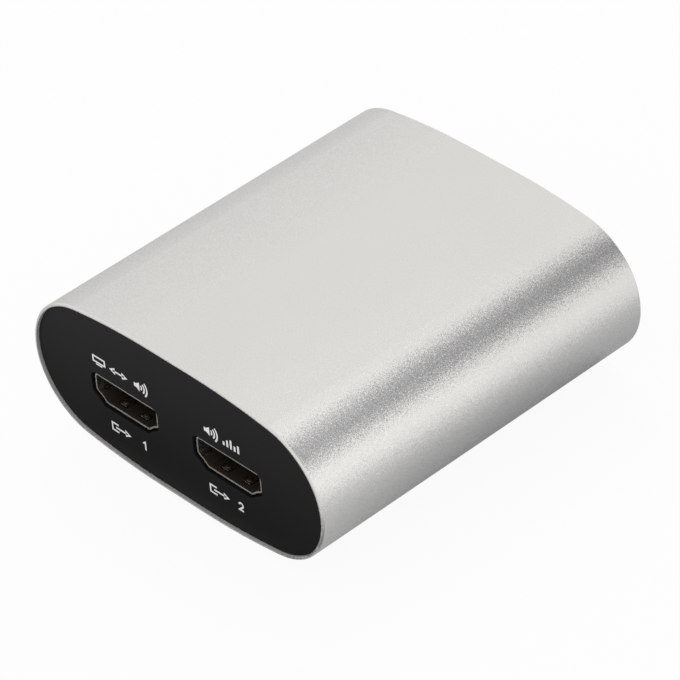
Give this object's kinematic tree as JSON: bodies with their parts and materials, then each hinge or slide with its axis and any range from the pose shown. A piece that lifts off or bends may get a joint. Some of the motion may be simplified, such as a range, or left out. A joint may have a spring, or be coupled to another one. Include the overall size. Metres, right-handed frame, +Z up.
{
  "type": "hdmi audio extractor",
  "caption": "Pocket-size box in an oval aluminium sleeve that takes HDMI video in and passes it on, with the audio on an output of its own.",
  "frame": {"origin": "middle of the footprint, on the plane that the rubber feet stand on", "axes": "+X across the width, +Y from the front panel with the two outputs to the rear panel, +Z up"},
  "size_m": [0.066, 0.07, 0.0288],
  "materials": {
    "sleeve_aluminium": "bead blasted and clear anodised, satin",
    "panel_black": "black anodised, satin",
    "overlay_black": "black printed film, fine satin",
    "screw_steel": "black zinc",
    "foot_rubber": "matte",
    "board_green": "solder mask",
    "socket_nickel": "nickel plated sheet",
    "insulator_black": "moulded, matte",
    "contact_gold": "gold plated",
    "jack_black": "moulded",
    "terminal_tin": "tin plated",
    "switch_steel": "nickel plated",
    "switch_black": "moulded",
    "wiper_bronze": "phosphor bronze",
    "light_pipe_clear": "clear moulding",
    "led_white": "package with a clear lens",
    "chip_black": "epoxy",
    "thermal_grey": "soft pad",
    "sink_black": "black anodised",
    "crystal_steel": "bright can",
    "ferrite_grey": "sintered ferrite",
    "can_aluminium": "bright can",
    "ceramic_tan": "ceramic",
    "resistor_black": "glazed"
  },
  "bodies": {
    "extractor": {"housing_sleeve": "sleeve_aluminium", "front_end_plate": "panel_black", "rear_end_plate": "panel_black", "front_overlay": "overlay_black", "rear_overlay": "overlay_black", "front_plate_screws": "screw_steel", "rear_plate_screws": "screw_steel", "rubber_feet": "foot_rubber", "main_board": "board_green", "power_socket_body": "jack_black", "power_socket_pin": "terminal_tin", "power_socket_spring": "terminal_tin", "mode_switch_frame": "switch_steel", "mode_switch_base": "switch_black", "mode_switch_terminals": "terminal_tin", "light_pipes": "light_pipe_clear", "status_leds": "led_white", "main_processor": "chip_black", "thermal_pad": "thermal_grey", "heat_sink": "sink_black", "microcontroller": "chip_black", "audio_processor": "chip_black", "flash_memory": "chip_black", "crystals": "crystal_steel", "power_inductor": "ferrite_grey", "capacitor_bases": "chip_black", "capacitor_cans": "can_aluminium", "voltage_regulators": "chip_black", "ceramic_capacitors": "ceramic_tan", "esd_arrays": "chip_black", "resistors": "resistor_black", "hdmi_out1_shell": "socket_nickel", "hdmi_out1_insulator": "insulator_black", "hdmi_out1_contacts": "contact_gold", "hdmi_out2_shell": "socket_nickel", "hdmi_out2_insulator": "insulator_black", "hdmi_out2_contacts": "contact_gold", "hdmi_in_shell": "socket_nickel", "hdmi_in_insulator": "insulator_black", "hdmi_in_contacts": "contact_gold"},
    "mode_slider": {"mode_switch_slider": "switch_black", "mode_switch_wiper": "wiper_bronze"}
  },
  "joints": [
    {"name": "mode_slide", "type": "slide", "parent": "extractor", "child": "mode_slider", "axis": [1, 0, 0], "range_m": [-0.002, 0.002]}
  ]
}
